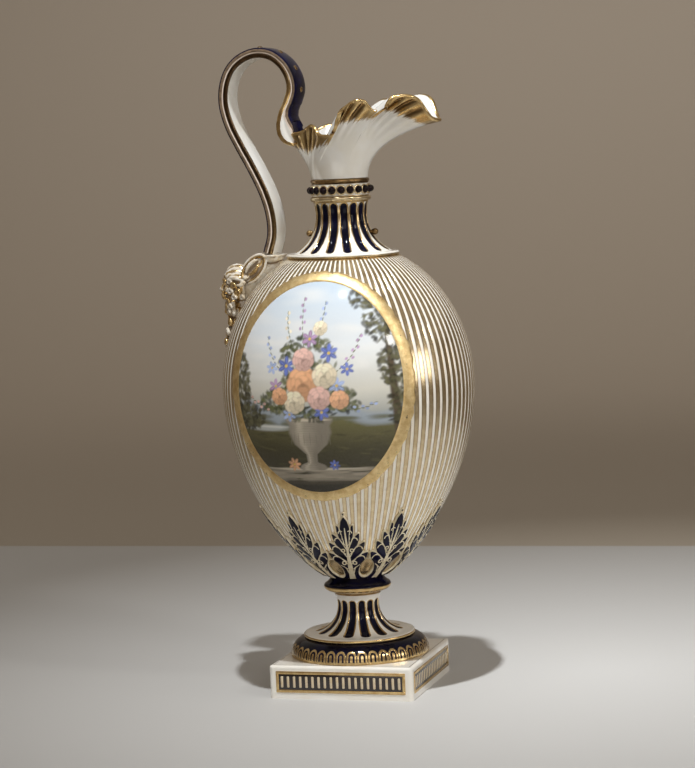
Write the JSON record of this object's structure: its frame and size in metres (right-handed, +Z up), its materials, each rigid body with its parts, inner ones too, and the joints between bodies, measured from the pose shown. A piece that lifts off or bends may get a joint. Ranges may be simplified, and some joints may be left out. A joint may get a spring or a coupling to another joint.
{
  "type": "porcelain ewer",
  "caption": "Pedestal ewer of gilt and cobalt porcelain with a square plinth, fluted foot and neck, frilled pouring lip and swan-neck strap handle on a mask.",
  "frame": {"origin": "middle of the square plinth's underside, on the table", "axes": "+Z up; +X from the handle to the pouring lip; the picture on the body faces -Y"},
  "size_m": [0.1359, 0.1306, 0.3334],
  "materials": {
    "white_porcelain": "gloss",
    "cobalt_porcelain": "gloss",
    "gilt_porcelain": "gloss",
    "striped_porcelain": "gloss",
    "jewel": "gloss",
    "steel": "satin",
    "cork": "matte"
  },
  "bodies": {
    "root": {"plinth": "white_porcelain", "foot_torus": "cobalt_porcelain", "foot_stem": "white_porcelain", "stem_knop": "cobalt_porcelain", "body": "striped_porcelain", "acanthus_leaves": "cobalt_porcelain", "shoulder_ring": "gilt_porcelain", "neck": "white_porcelain", "neck_knobs": "gilt_porcelain", "collar": "gilt_porcelain", "collar_beads": "jewel", "spout": "white_porcelain", "handle": "white_porcelain", "handle_husks": "gilt_porcelain", "mask": "gilt_porcelain", "mask_pendant": "gilt_porcelain", "tie_bolt": "steel", "bolt_washer": "steel", "bolt_cushion": "cork", "nut_cushion": "cork", "nut_washer": "steel", "nut": "steel"}
  },
  "joints": []
}
